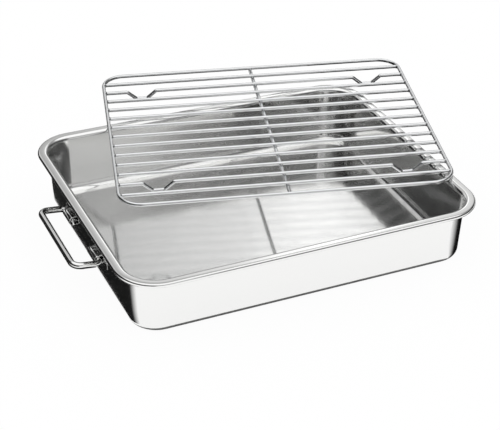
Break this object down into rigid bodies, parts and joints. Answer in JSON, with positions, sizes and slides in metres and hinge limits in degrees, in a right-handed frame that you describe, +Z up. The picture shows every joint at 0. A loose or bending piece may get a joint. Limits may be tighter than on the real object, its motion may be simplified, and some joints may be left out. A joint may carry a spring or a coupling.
{
  "type": "roasting pan with rack",
  "caption": "Rectangular steel roasting pan with rolled rim, folding wire handles and a wire rack laid askew across its rim.",
  "frame": {"origin": "middle of the pan's flat underside, on the table", "axes": "+X along the pan's long side, towards the end that the rack overhangs; +Y towards the side that the rack overhangs; +Z up"},
  "size_m": [0.4916, 0.4325, 0.0794],
  "materials": {
    "pan_steel": "bright rolled sheet",
    "handle_steel": "polished wire",
    "rack_steel": "bright plated wire"
  },
  "bodies": {
    "pan": {"pan_body": "pan_steel", "left_handle_strap": "pan_steel", "right_handle_strap": "pan_steel"},
    "left_handle": {"left_handle": "handle_steel"},
    "right_handle": {"right_handle": "handle_steel"},
    "rack": {"rack_frame": "rack_steel", "rack_centre_bar": "rack_steel", "rack_wire_01": "rack_steel", "rack_foot_wire_front": "rack_steel", "rack_wire_02": "rack_steel", "rack_wire_03": "rack_steel", "rack_wire_04": "rack_steel", "rack_wire_05": "rack_steel", "rack_wire_06": "rack_steel", "rack_wire_07": "rack_steel", "rack_wire_08": "rack_steel", "rack_wire_09": "rack_steel", "rack_wire_10": "rack_steel", "rack_foot_wire_back": "rack_steel", "rack_wire_11": "rack_steel"}
  },
  "joints": [
    {"name": "left_handle_swing", "type": "hinge", "parent": "pan", "child": "left_handle", "pos_m": [-0.1922, 0, 0.0347], "axis": [0, 1, 0], "range_deg": [-96, 63]},
    {"name": "right_handle_swing", "type": "hinge", "parent": "pan", "child": "right_handle", "pos_m": [0.1922, 0, 0.0347], "axis": [0, -1, 0], "range_deg": [-96, 63]},
    {"name": "rack_lift", "type": "slide", "parent": "pan", "child": "rack", "axis": [0, 0, 1], "range_m": [0, 0.12]}
  ]
}
